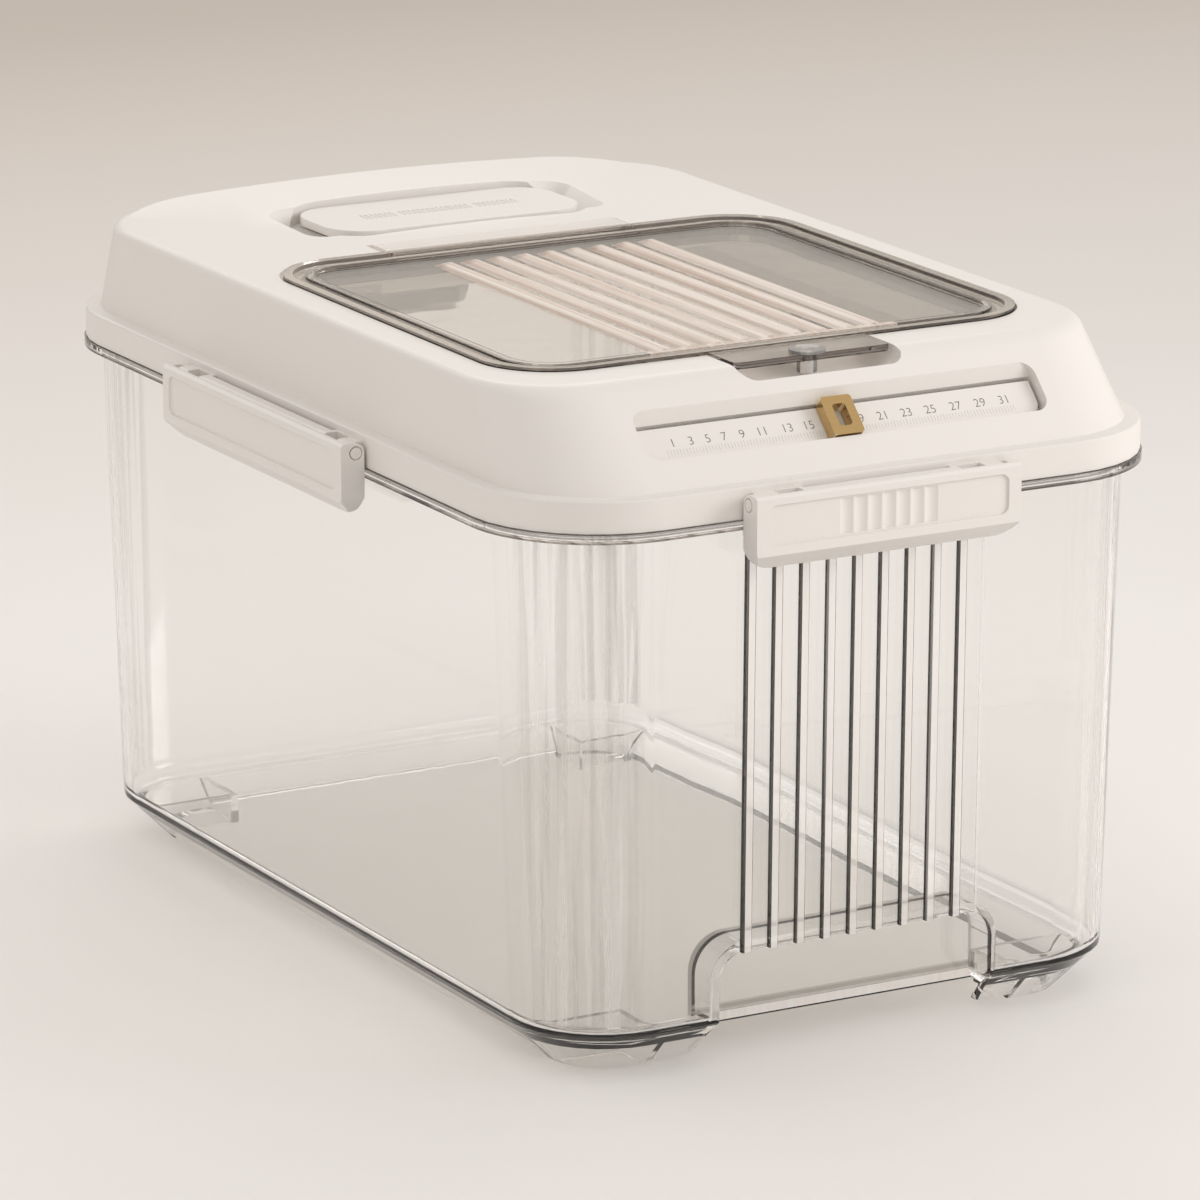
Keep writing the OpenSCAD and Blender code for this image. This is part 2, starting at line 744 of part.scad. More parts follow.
// One long ridge of the flip lid, a low arc with sloped ends
module ridge() {
    sink = sqrt(pow(ridge_r, 2) - pow(ridge_w / 2, 2));
    intersection() {
        translate([0, -1, plate_z - sink])
            rotate([-90, 0, 0])
                cylinder(h = ridge_len + 2, r = ridge_r);
        along_x(2 * ridge_r + 2)
            polygon([[-0.7, plate_z - 0.5], [4, plate_z + 3], [ridge_len - 7, plate_z + 3],
                [ridge_len + 1.2, plate_z - 0.5]]);
    }
}

module flip_lid() {
    plug_gap = 2.3;
    inner = seat_ledge + plug_gap;
    color(smoked_plastic)
        difference() {
            union() {
                slab(flip_w, flip_d, flip_r, flip_z, plate_z, flip_y);
                frame_ring(flip_w, flip_d, flip_r, 3.4, flip_z + eps, plate_z + bead_h, flip_y);
                frame_ring(flip_w - 15, flip_d - 15, flip_r - 7.5, 3, flip_z + eps, plate_z + bead_h * 0.7, flip_y);
                frame_ring(flip_w - 2 * inner, flip_d - 2 * inner, flip_r - inner, 2,
                    flip_z - plug_h, flip_z + eps, flip_y);
                for (i = [0 : rib_count - 1])
                    translate([(i - (rib_count - 1) / 2) * rib_pitch, flip_front + 8, 0])
                        ridge();
                translate([0, flip_front - tab_out, tab_z])
                    linear_extrude(tab_t)
                        translate([0, (tab_out + 6) / 2])
                            rounded(2 * tab_hw, tab_out + 6, 2.5);
                translate([0, hinge_y + tab_back - 8, tab_z])
                    linear_extrude(tab_t)
                        rounded(2 * hinge_hw, 16, 1);
                rod_x(-hinge_hw, hinge_hw, barrel_r, hinge_y, hinge_z);
            }
            for (x = [-1, 1])
                rod_x(x > 0 ? hinge_hw - hinge_pin_in : -hinge_hw - eps,
                    x > 0 ? hinge_hw + eps : hinge_pin_in - hinge_hw, hinge_pin_r + run_gap, hinge_y, hinge_z);
            translate([0, bumper_y, tab_z - eps])
                cylinder(h = tab_t + 2 * eps, r = bumper_stem_r);
        }
}

module flip_seal() {
    outer = seat_ledge + side_gap;
    color(dark_silicone)
        frame_ring(flip_w - 2 * outer, flip_d - 2 * outer, flip_r - outer, 1.9,
            flip_z - flip_seal_h - 0.6, flip_z - 0.6, flip_y);
}

module hinge_pin(side) {
    reach = trough_hw + 3;
    color(steel)
        rod_x(side > 0 ? hinge_hw - hinge_pin_in + 0.5 : -reach, side > 0 ? reach : hinge_pin_in - 0.5 - hinge_hw,
            hinge_pin_r, hinge_y, hinge_z);
}

module hinge_pin_left() {
    hinge_pin(-1);
}

module hinge_pin_right() {
    hinge_pin(1);
}

module tab_bumper() {
    reach = abs(bumper_y - scoop_y) + bumper_foot_r;
    foot_z = scoop_z - sqrt(pow(scoop_r, 2) - pow(reach, 2)) + seat_gap;
    color(pale_silicone)
        translate([0, bumper_y, 0]) {
            translate([0, 0, tab_z + tab_t])
                cylinder(h = 0.9, r = bumper_head_r);
            translate([0, 0, foot_z])
                cylinder(h = tab_z - foot_z, r = bumper_foot_r);
            translate([0, 0, foot_z + 1])
                cylinder(h = tab_z + tab_t - foot_z, r = bumper_stem_r);
        }
}

// ---- desiccant compartment ----

module desiccant_cup() {
    bottom = cover_seat + seat_gap - cup_h;
    color(white_plastic)
        difference() {
            union() {
                slab(cup_w + 2 * cup_flange, cup_d + 2 * cup_flange, 8 + cup_flange,
                    cover_seat + seat_gap, cup_top, cover_y);
                slab(cup_w, cup_d, 7.5, bottom, cup_top, cover_y);
            }
            slab(cup_w - 2 * cup_t, cup_d - 2 * cup_t, 7.5 - cup_t, bottom + cup_t, cup_top + 1, cover_y);
            for (i = [0 : vent_count - 1])
                translate([(i - (vent_count - 1) / 2) * 5.6, cover_y, bottom - 1])
                    linear_extrude(cup_t + 2)
                        square([2, cup_d - 14], center = true);
        }
}

// The cover lifts off by its overhanging ends; three groups of grooves make it easy to grip
module desiccant_cover() {
    plug = cup_t + side_gap;
    groove_pitch = 1.85;
    groove_w = 0.95;
    groove_l = 7;
    color(white_plastic)
        difference() {
            union() {
                slab(cover_w, cover_d, cover_r, cover_z, cover_z + cover_t, cover_y);
                frame_ring(cup_w - 2 * plug, cup_d - 2 * plug, 7.5 - plug, 1.6,
                    cover_seat - 4, cover_z + eps, cover_y);
            }
            for (group = [[-16, -10], [-8, 6], [8, 16]])
                for (i = [group[0] : group[1]])
                    translate([i * groove_pitch - groove_w / 2, cover_y - groove_l / 2, cover_z + cover_t - 0.5])
                        cube([groove_w, groove_l, 1]);
        }
}

// ---- date scale ----

module scale_strip() {
    color(white_plastic)
        on_slope()
            translate([0, strip_y, -strip_down - strip_t])
                linear_extrude(strip_t) {
                    rounded(2 * strip_hw, strip_h, scale_r - 0.6);
                    translate([-strip_hw, 0])
                        square([2 * strip_hw, strip_h / 2]);
                }
}

// The marker wraps the strip's two long edges and has a window over the numbers
module date_marker() {
    face = -strip_down + seat_gap;
    back = -strip_down - strip_t - seat_gap - claw_t;
    color(brass)
        on_slope()
            translate([marker_x, strip_y, 0])
                difference() {
                    translate([0, 0, back])
                        linear_extrude(marker_out - back)
                            rounded(marker_w, marker_h, 1.2);
                    translate([-marker_w, -strip_h / 2 - seat_gap, back + claw_t])
                        cube([2 * marker_w, strip_h + 2 * seat_gap, face - back - claw_t]);
                    translate([-marker_w, 3 - strip_h / 2, back - 1])
                        cube([2 * marker_w, strip_h - 6, claw_t + 2]);
                    translate([0, 0, face - 1])
                        linear_extrude(far)
                            rounded(4.8, 8.2, 1.1);
                }
}

// ---- latches ----

// Outside of a latch seen from its end, drawn in Y and Z
module latch_side() {
    difference() {
        polygon([[-cheek_back, axis_z], [-cheek_back, latch_bottom + latch_bevel + 1],
            [latch_bevel - latch_out + 1.5, latch_bottom], [latch_bevel - latch_out, latch_bottom],
            [-latch_out, latch_bottom + latch_bevel], [-latch_out, latch_top - 1], [1 - latch_out, latch_top],
            [-axis_out, latch_top], [-axis_out, axis_z]]);
        translate([-axis_out, axis_z])
            square([far, far]);
    }
    translate([-axis_out, axis_z])
        circle(axis_out - cheek_back);
}

module latch(k, flutes) {
    l = latch_len(k);
    panel_h = latch_top - latch_bottom - latch_bevel - 6;
    panel_in = 0.8;
    gouge_in = 0.7;
    gouge_r = 4.4;
    ring_w = 0.45;
    ring_in = 0.7;
    panel_z = (latch_top + latch_bottom + latch_bevel) / 2;
    color(white_plastic)
        on_side(k)
            difference() {
                intersection() {
                    union() {
                        difference() {
                            along_x(l)
                                latch_side();
                            along_x(l - 2 * cheek_t)
                                polygon([[far, latch_bottom - 1], [latch_bevel + 1.5 - latch_out, latch_bottom - 1],
                                    [latch_bevel + 1.5 - latch_out, latch_bottom + 1.5],
                                    [-latch_inner, latch_bottom + latch_bevel + 1], [-latch_inner, far * 9],
                                    [far, far * 9]]);
                        }
                        along_x(l - 2 * cheek_t + eps)
                            polygon([[-latch_inner - eps, hook_top], [-cheek_back, hook_top], [-cheek_back, hook_top - 1.6],
                                [-latch_inner - eps, hook_top - 5]]);
                    }
                    translate([0, far / 2, 0])
                        rotate([90, 0, 0])
                            linear_extrude(far) {
                                translate([-l / 2, latch_bottom + latch_r])
                                    square([l, latch_h]);
                                translate([latch_r - l / 2, latch_bottom])
                                    square([l - 2 * latch_r, latch_h]);
                                for (x = [-1, 1])
                                    translate([x * (l / 2 - latch_r), latch_bottom + latch_r])
                                        circle(latch_r);
                            }
                }
                translate([0, panel_in - latch_out, panel_z])
                    rotate([90, 0, 0])
                        linear_extrude(5)
                            rounded(l - 9, panel_h, 3);
                for (i = [0 : flutes - 1])
                    translate([(i - (flutes - 1) / 2) * flute_pitch, panel_in + gouge_in - latch_out - gouge_r,
                        panel_z - panel_h / 2 + 0.8])
                        cylinder(h = panel_h - 1.6, r = gouge_r);
                for (x = [-1, 1])
                    rod_x(x > 0 ? l / 2 - ring_in : -l / 2 - 1, x > 0 ? l / 2 + 1 : ring_in - l / 2,
                        pin_r + ring_w, -axis_out, axis_z);
                rod_x(-l / 2 - 1, l / 2 + 1, pin_r + run_gap, -axis_out, axis_z);
            }
}

// Pin at one end of latch k, fixed in the lid's hinge bar and running in the latch's cheek
module latch_pin(k, side) {
    b = bar_len(k) / 2;
    e = latch_len(k) / 2;
    color(white_plastic)
        on_side(k)
            rod_x(side > 0 ? b - pin_in : -e, side > 0 ? e : pin_in - b, pin_r, -axis_out, axis_z);
}

module latch_front() {
    latch(0, flute_count);
}

module latch_right() {
    latch(1, 0);
}

module latch_back() {
    latch(2, flute_count);
}

module latch_left() {
    latch(3, 0);
}

module front_latch_pin_left() {
    latch_pin(0, -1);
}

module front_latch_pin_right() {
    latch_pin(0, 1);
}

module right_latch_pin_front() {
    latch_pin(1, -1);
}

module right_latch_pin_rear() {
    latch_pin(1, 1);
}

module back_latch_pin_right() {
    latch_pin(2, -1);
}

module back_latch_pin_left() {
    latch_pin(2, 1);
}

module left_latch_pin_rear() {
    latch_pin(3, -1);
}

module left_latch_pin_front() {
    latch_pin(3, 1);
}

tub();
lid_frame();
lid_seal();
flip_lid();
flip_seal();
hinge_pin_left();
hinge_pin_right();
tab_bumper();
desiccant_cup();
desiccant_cover();
scale_strip();
date_marker();
latch_front();
latch_right();
latch_back();
latch_left();
front_latch_pin_left();
front_latch_pin_right();
right_latch_pin_front();
right_latch_pin_rear();
back_latch_pin_right();
back_latch_pin_left();
left_latch_pin_rear();
left_latch_pin_front();
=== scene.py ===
"""Looks of the food bin: materials, softened shells, printed scale, studio floor, light and camera."""

import json
import math

import bmesh
import bpy
from mathutils import Matrix, Vector


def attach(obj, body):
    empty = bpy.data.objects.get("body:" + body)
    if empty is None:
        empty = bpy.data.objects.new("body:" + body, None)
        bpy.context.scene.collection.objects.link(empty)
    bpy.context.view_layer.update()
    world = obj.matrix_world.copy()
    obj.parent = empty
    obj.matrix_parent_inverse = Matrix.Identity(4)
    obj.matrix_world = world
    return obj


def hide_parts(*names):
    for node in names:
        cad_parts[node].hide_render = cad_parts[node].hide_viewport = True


MM = 0.001

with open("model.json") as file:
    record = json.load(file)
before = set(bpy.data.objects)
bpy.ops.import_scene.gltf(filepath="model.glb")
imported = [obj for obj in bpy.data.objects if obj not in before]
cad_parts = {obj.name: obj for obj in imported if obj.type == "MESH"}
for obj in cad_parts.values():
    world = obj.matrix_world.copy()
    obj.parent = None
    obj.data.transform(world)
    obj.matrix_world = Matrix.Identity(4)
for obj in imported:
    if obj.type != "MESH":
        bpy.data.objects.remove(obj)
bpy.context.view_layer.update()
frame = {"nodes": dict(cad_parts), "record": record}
NODES = frame["nodes"]
SUBPARTS = frame["record"]["subparts"]
BODIES = frame["record"]["behaviour"]["bodies"]
BODY_OF = {node: body for body, nodes in BODIES.items() for node in nodes}


# ---- camera, fitted to the photo ----

CAMERA_AZIMUTH = math.radians(-29.03)
CAMERA_ELEVATION = math.radians(14.95)
CAMERA_DISTANCE = 2326.4 * MM
CAMERA_TARGET = Vector((-12.73, -26.52, 115.12)) * MM
CAMERA_LENS = 208.0
CAMERA_SENSOR = 36.0
CAMERA_REACH = 50.0


def make_camera():
    data = bpy.data.cameras.new("camera")
    data.lens = CAMERA_LENS
    data.sensor_width = CAMERA_SENSOR
    data.clip_end = CAMERA_REACH
    camera = bpy.data.objects.new("camera", data)
    level = math.cos(CAMERA_ELEVATION)
    back = Vector((math.sin(CAMERA_AZIMUTH) * level,
                   -math.cos(CAMERA_AZIMUTH) * level,
                   math.sin(CAMERA_ELEVATION)))
    camera.location = CAMERA_TARGET + back * CAMERA_DISTANCE
    camera.rotation_euler = back.to_track_quat("Z", "Y").to_euler()
    bpy.context.scene.collection.objects.link(camera)
    bpy.context.scene.camera = camera


# ---- node trees ----

# The colour sockets of Blender's mix node, which shares its names between data types.
MIX_FACTOR = 0
MIX_A = 6
MIX_B = 7
MIX_RESULT = 2


class Tree:
    """Short calls for building the node tree of a new material or world."""

    def __init__(self, owner, output="ShaderNodeOutputMaterial"):
        owner.use_nodes = True
        self.owner = owner
        self.nodes = owner.node_tree.nodes
        self.links = owner.node_tree.links
        self.nodes.clear()
        self.output = self.add(output)

    def add(self, kind, inputs=None, **settings):
        """A node with its settings, and with each input set to a value or linked to a socket."""
        node = self.nodes.new(kind)
        for key, value in settings.items():
            setattr(node, key, value)
        for key, value in (inputs or {}).items():
            socket = node.inputs[key]
            if isinstance(value, bpy.types.NodeSocket):
                self.links.new(value, socket)
            else:
                socket.default_value = value
        return node

    def math(self, operation, a, b=0.0):
        return self.add("ShaderNodeMath", {0: a, 1: b}, operation=operation).outputs[0]

    def product(self, first, *others):
        for other in others:
            first = self.math("MULTIPLY", first, other)
        return first

    def coordinate(self, kind="Object"):
        return self.add("ShaderNodeTexCoord").outputs[kind]

    def split(self, vector):
        return self.add("ShaderNodeSeparateXYZ", {0: vector}).outputs

    def dot(self, a, b):
        return self.add("ShaderNodeVectorMath", {0: a, 1: b}, operation="DOT_PRODUCT").outputs["Value"]

    def noise(self, scale, detail):
        return self.add("ShaderNodeTexNoise", {"Vector": self.coordinate(), "Scale": scale,
                                               "Detail": detail}).outputs["Fac"]

    def streaks(self, squeeze, detail):
        """Noise drawn out into streaks: squeeze is its scale along X, Y and Z."""
        squeezed = self.add("ShaderNodeMapping", {"Vector": self.coordinate(), "Scale": squeeze}).outputs[0]
        return self.add("ShaderNodeTexNoise", {"Vector": squeezed, "Scale": 1.0,
                                               "Detail": detail}).outputs["Fac"]

    def ramp(self, value, span, ends=(0.0, 1.0)):
        """The first end up to the span's start, the second one from its end, and a slope between."""
        return self.add("ShaderNodeMapRange", {"Value": value, "From Min": span[0], "From Max": span[1],
                                               "To Min": ends[0], "To Max": ends[1]}).outputs[0]

    def inside(self, low, high):
        """1 inside a box given in metres by two corners, 0 outside; None leaves a side open."""
        place = self.split(self.coordinate())
        sides = [self.math(test, place[axis], bound)
                 for axis in range(3)
                 for test, bound in (("GREATER_THAN", low[axis]), ("LESS_THAN", high[axis]))
                 if bound is not None]
        return self.product(*sides)

    def stripes(self, axis, first, pitch, width):
        """1 on bands that repeat along an axis, 0 between them; lengths in metres."""
        along = self.math("SUBTRACT", self.split(self.coordinate())[axis], first)
        turns = self.math("MULTIPLY", along, 1.0 / pitch)
        return self.math("LESS_THAN", self.math("FRACT", turns), width / pitch)

    def facing(self, axis, span):
        """1 on faces that look along an axis, either way; 0 on those that don't."""
        normal = self.split(self.coordinate("Normal"))
        return self.ramp(self.math("ABSOLUTE", normal[axis]), span)

    def not_facing(self, axis, span):
        return self.math("SUBTRACT", 1.0, self.facing(axis, span))

    def outward(self):
        """1 on faces that look away from the object's upright middle axis, 0 on the others."""
        level = self.add("ShaderNodeVectorMath", {0: self.coordinate(), 1: (1.0, 1.0, 0.0)},
                         operation="MULTIPLY").outputs[0]
        return self.math("GREATER_THAN", self.dot(level, self.coordinate("Normal")), 0.0)

    def mix_color(self, share, a, b):
        return self.add("ShaderNodeMix", {MIX_FACTOR: share, MIX_A: a, MIX_B: b},
                        data_type="RGBA").outputs[MIX_RESULT]

    def mix_shader(self, share, a, b):
        return self.add("ShaderNodeMixShader", {0: share, 1: a, 2: b}).outputs[0]

    def bump(self, height, strength, distance):
        return self.add("ShaderNodeBump", {"Height": height, "Strength": strength,
                                           "Distance": distance}).outputs[0]

    def principled(self, **inputs):
        """A principled shader; the inputs' names are written with _ for a blank."""
        named = {name.replace("_", " "): value for name, value in inputs.items()}
        return self.add("ShaderNodeBsdfPrincipled", named).outputs[0]

    def surface(self, shader):
        self.links.new(shader, self.output.inputs["Surface"])
        return self.owner


def material_tree(name):
    return Tree(bpy.data.materials.new(name))


def rgb(r, g, b):
    return (r, g, b, 1.0)


# ---- materials ----
#
# A noise is given by its scale (turns a metre) and detail, streaks by their scale along each axis and
# detail, a bump by its strength and height in metres. A ramp's span is a stretch of the noise, most of which
# lies between 0.3 and 0.7, or of how squarely a face looks along an axis, 1 being fully.

X_AXIS = 0
Y_AXIS = 1
Z_AXIS = 2

SLOPE_OUT = Vector((0.0, -1.0, 1.0)).normalized()
SLOPE_UP = Vector((0.0, 1.0, 1.0)).normalized()

WHOLE_NOISE = (0.1, 0.9)
MOST_NOISE = (0.3, 0.7)
WORN_NOISE = (0.35, 0.7)
SHEEN_LINES_SPAN = (0.35, 0.65)

MOULDED_IOR = 1.49
MOULDED_GLOSS = (40.0, 2.0)
MOULDED_GLOSS_SPREAD = 0.04
MOULDED_WAVES = (16.0, 1.0)
MOULDED_BUMP = (0.05, 0.001)

CLEAR_IOR = 1.46
CLEAR_ROUGHNESS = 0.015
CLEAR_WAVES = (22.0, 2.0)
CLEAR_BUMP = (0.06, 0.002)

SILICONE_IOR = 1.41
SILICONE_CLOUDS = (60.0, 3.0)
SILICONE_CLOUD_SHARE = (0.0, 0.25)
SILICONE_CLOUD_GREY = rgb(0.5, 0.49, 0.47)
SILICONE_GRAIN = (1800.0, 2.0)
SILICONE_BUMP = (0.2, 0.00004)

CLEAR_SILICONE_BODY = rgb(0.985, 0.98, 0.975)
CLEAR_SILICONE_MILK = rgb(0.93, 0.92, 0.91)
CLEAR_SILICONE_SHINE = rgb(0.95, 0.94, 0.93)
CLEAR_SILICONE_CLOUDS = (300.0, 3.0)
CLEAR_SILICONE_VEIL = (0.16, 0.34)
CLEAR_SILICONE_ROUGHNESS = 0.12
CLEAR_SILICONE_RIMS = 0.35

GOLD_DEEP = rgb(0.63, 0.435, 0.19)
GOLD_LIGHT = rgb(0.70, 0.50, 0.245)
# A painted highlight for the marker's rounded edges.
GOLD_PAINTED_HIGHLIGHT = rgb(1.0, 0.86, 0.60)
GOLD_FLATS = ((1.0, 0.0, 0.0), tuple(SLOPE_OUT), tuple(SLOPE_UP))
GOLD_FLATS_SPAN = (0.94, 0.98)
GOLD_STREAKS = ((120.0, 1800.0, 1800.0), 3.0)
GOLD_ROUGHNESS = (0.16, 0.24)
GOLD_BUMP = (0.08, 0.00005)

STEEL_GREY = rgb(0.55, 0.54, 0.53)
STEEL_GRAIN = (1500.0, 3.0)
STEEL_ROUGHNESS = (0.25, 0.45)

PRINT_WEAR = (900.0, 3.0)
PRINT_ROUGHNESS = 0.5

# For each test, the axis that a face must not look along and the share at which it stops being marked.
AXIS_NOT_FACED = {"side": (Y_AXIS, (0.85, 0.97)), "upright": (Z_AXIS, (0.3, 0.6))}
AXIS_FACED_SPAN = (0.35, 0.6)


def moulded_plastic(name, color, roughness):
    """Satin moulded plastic: uneven gloss and the faint broad waves of a moulded wall."""
    tree = material_tree(name)
    ends = (roughness - MOULDED_GLOSS_SPREAD, roughness + MOULDED_GLOSS_SPREAD)
    gloss = tree.ramp(tree.noise(*MOULDED_GLOSS), WHOLE_NOISE, ends)
    normal = tree.bump(tree.noise(*MOULDED_WAVES), *MOULDED_BUMP)
    return tree.surface(tree.principled(Base_Color=color, Roughness=gloss, Normal=normal, IOR=MOULDED_IOR))


def marked_faces(tree, low, high, test):
    """1 on the faces inside a box that pass a test, 0 on the others."""
    box = tree.inside(low, high)
    if test is None:
        return box
    if test == "outward":
        return tree.product(box, tree.outward())
    if test in AXIS_NOT_FACED:
        return tree.product(box, tree.not_facing(*AXIS_NOT_FACED[test]))
    return tree.product(box, tree.facing(test, AXIS_FACED_SPAN))


def clear_plastic(name, tint, shadow, places, milk_and_highlights):
    """Clear moulded plastic with faint flow waves. Shadow rays pass with a light tint.

    places are (lowest corner, highest corner, test, colour) in metres: faces inside such a box take that
    colour, mostly a painted shade for the dark look that thick edges seen end-on have. The test is the axis
    that they face, "outward" for faces that look away from the middle, "side" for all but the front and back
    faces, "upright" for walls, or None. The last argument is a function of the tree that returns the share of
    the surface given milky frosting and painted highlights, its colour, and the roughness of the clear share."""
    tree = material_tree(name)
    normal = tree.bump(tree.noise(*CLEAR_WAVES), *CLEAR_BUMP)
    color = tint
    # Painted shade on thick edges seen end-on, and the lift tab's tint.
    for low, high, test, painted_shade_and_tint in places:
        color = tree.mix_color(marked_faces(tree, low, high, test), color, painted_shade_and_tint)
    # The milky diffuse share carries the ridges' frosting and the painted highlight and painted shade lines.
    veil, milk_and_sheen, roughness = milk_and_highlights(tree)
    glass = tree.principled(Base_Color=color, Roughness=roughness, IOR=CLEAR_IOR, Transmission_Weight=1.0,
                            Normal=normal)
    milky = tree.add("ShaderNodeBsdfDiffuse", {"Color": milk_and_sheen}).outputs[0]
    wall = tree.mix_shader(veil, glass, milky)
    through = tree.add("ShaderNodeBsdfTransparent", {"Color": shadow}).outputs[0]
    shadow_ray = tree.add("ShaderNodeLightPath").outputs["Is Shadow Ray"]
    return tree.surface(tree.mix_shader(shadow_ray, wall, through))


def clear_silicone():
    """Clear soft silicone: see-through, with bright rims and a faint milky veil."""
    tree = material_tree("clear_silicone")
    veil = tree.ramp(tree.noise(*CLEAR_SILICONE_CLOUDS), MOST_NOISE, CLEAR_SILICONE_VEIL)
    through = tree.add("ShaderNodeBsdfTransparent", {"Color": CLEAR_SILICONE_BODY}).outputs[0]
    milky = tree.add("ShaderNodeBsdfDiffuse", {"Color": CLEAR_SILICONE_MILK}).outputs[0]
    body = tree.mix_shader(veil, through, milky)
    shine = tree.add("ShaderNodeBsdfGlossy", {"Color": CLEAR_SILICONE_SHINE,
                                              "Roughness": CLEAR_SILICONE_ROUGHNESS}).outputs[0]
    rims = tree.add("ShaderNodeLayerWeight", {"Blend": CLEAR_SILICONE_RIMS}).outputs["Fresnel"]
    return tree.surface(tree.mix_shader(rims, body, shine))


def silicone(name, color, roughness):
    """Soft silicone: a faintly clouded grey with a fine matt grain."""
    tree = material_tree(name)
    clouds = tree.ramp(tree.noise(*SILICONE_CLOUDS), MOST_NOISE, SILICONE_CLOUD_SHARE)
    base = tree.mix_color(clouds, color, SILICONE_CLOUD_GREY)
    normal = tree.bump(tree.noise(*SILICONE_GRAIN), *SILICONE_BUMP)
    return tree.surface(tree.principled(Base_Color=base, Roughness=roughness, Normal=normal,
                                        IOR=SILICONE_IOR))


def gold_plastic():
    """Gold metallised plastic brushed across the slope, with a painted highlight on its rounded edges."""
    tree = material_tree("gold_plastic")
    streaks = tree.streaks(*GOLD_STREAKS)
    base = tree.mix_color(streaks, GOLD_DEEP, GOLD_LIGHT)
    normal = tree.coordinate("Normal")
    flat = 0.0
    for direction in GOLD_FLATS:
        flat = tree.math("MAXIMUM", flat, tree.math("ABSOLUTE", tree.dot(normal, direction)))
    # Painted highlight: faces that look along none of the flat directions, the rounded edges, turn bright
    # gold.
    base = tree.mix_color(tree.ramp(flat, GOLD_FLATS_SPAN, (1.0, 0.0)), base, GOLD_PAINTED_HIGHLIGHT)
    roughness = tree.ramp(streaks, MOST_NOISE, GOLD_ROUGHNESS)
    return tree.surface(tree.principled(Base_Color=base, Metallic=1.0, Roughness=roughness,
                                        Normal=tree.bump(streaks, *GOLD_BUMP)))


def steel_wire():
    tree = material_tree("steel_wire")
    roughness = tree.ramp(tree.noise(*STEEL_GRAIN), MOST_NOISE, STEEL_ROUGHNESS)
    return tree.surface(tree.principled(Base_Color=STEEL_GREY, Metallic=1.0, Roughness=roughness))


def printed_grey(name, color, worn_color):
    tree = material_tree(name)
    worn = tree.ramp(tree.noise(*PRINT_WEAR), WORN_NOISE)
    base = tree.mix_color(worn, color, worn_color)
    return tree.surface(tree.principled(Base_Color=base, Roughness=PRINT_ROUGHNESS))


# ---- the flip lid's plastic ----

RIDGE_BOX = ((-0.046, -0.121, 0.22125), (0.046, 0.037, 0.2229))
# Lines along the milky ridges: painted highlights in pale and painted shade in warm.
RIDGE_SHEEN_LINES = ((900.0, 6.0, 300.0), 2.0)
RIDGE_VEIL = 0.62
RIDGE_PAINTED_SHADE = rgb(0.70, 0.55, 0.45)
RIDGE_PAINTED_HIGHLIGHT = rgb(0.96, 0.88, 0.82)
RIDGE_ROUGHNESS = 0.3

HINGE_TAB_BOX = ((-0.080, 0.0590, None), (0.080, None, None))
# The hinge tab's milky pale is painted brightness, for the light that shows through the clear tab and off it.
HINGE_TAB_BRIGHT_SHARE = 0.65
HINGE_TAB_PAINTED_BRIGHT = rgb(0.95, 0.905, 0.87)

SMOKED_TINT = rgb(0.91, 0.875, 0.835)
SMOKED_SHADOW = rgb(0.82, 0.79, 0.76)
# Painted shade for the flip lid's outer walls, seen along their height.
SMOKED_RIM_SHADE = rgb(0.42, 0.395, 0.38)
SMOKED_PLACES = (
    # The outer walls, seen along their height, in painted shade: right, left, back and front.
    ((0.0855, None, None), (None, None, None), "upright", SMOKED_RIM_SHADE),
    ((None, None, None), (-0.0855, None, None), "upright", SMOKED_RIM_SHADE),
    ((None, 0.0460, None), (None, 0.0590, None), "upright", SMOKED_RIM_SHADE),
    ((None, -0.1280, None), (None, -0.1150, None), "upright", SMOKED_RIM_SHADE),
    # The lift tab's tint, and its front edge in painted shade.
    ((-0.030, None, None), (0.030, -0.1275, None), None, rgb(0.70, 0.655, 0.62)),
    ((-0.030, None, None), (0.030, -0.1427, None), Y_AXIS, rgb(0.20, 0.18, 0.17)),
)


def frosted_ridges(tree):
    """The flip lid's milky ridges, with painted highlight and painted shade lines along them, and its hinge
    tab, painted pale for the light that shows through and off it.
    """
    lines = tree.ramp(tree.streaks(*RIDGE_SHEEN_LINES), SHEEN_LINES_SPAN)
    milk_and_sheen = tree.mix_color(lines, RIDGE_PAINTED_SHADE, RIDGE_PAINTED_HIGHLIGHT)
    on_ridges = tree.inside(*RIDGE_BOX)
    on_tab = tree.inside(*HINGE_TAB_BOX)
    milk_and_sheen = tree.mix_color(on_tab, milk_and_sheen, HINGE_TAB_PAINTED_BRIGHT)
    veil = tree.math("MAXIMUM", tree.product(on_ridges, RIDGE_VEIL), tree.product(on_tab, HINGE_TAB_BRIGHT_SHARE))
    roughness = tree.ramp(on_ridges, (0.0, 1.0), (CLEAR_ROUGHNESS, RIDGE_ROUGHNESS))
    return veil, milk_and_sheen, roughness


# ---- the tub's plastic ----

# A near black painted shade, for the dark look of thick clear edges seen end-on.
EDGE_PAINTED_SHADE = rgb(0.012, 0.010, 0.009)

# The boxes of the places below are given by two corners, in metres.
RIB_BOX = ((-0.045, None, 0.036), (0.045, -0.1735, 0.1787))
RIB_COUNT = 9
RIB_PITCH = 9.73 * MM
RIB_FIRST = -RIB_COUNT * RIB_PITCH / 2
RIB_WIDTH = 3.4 * MM
# Painted highlights on the ribs' flat faces: a pale diffuse share with warm and pale lines along them.
RIB_SHEEN_LINES = ((400.0, 400.0, 8.0), 2.0)
RIB_HIGHLIGHT_SHARE = 0.45
RIB_HIGHLIGHT_WARM = rgb(0.86, 0.80, 0.75)
RIB_HIGHLIGHT_PALE = rgb(0.90, 0.88, 0.86)
FLAT_FRONT_SPAN = (0.8, 0.95)

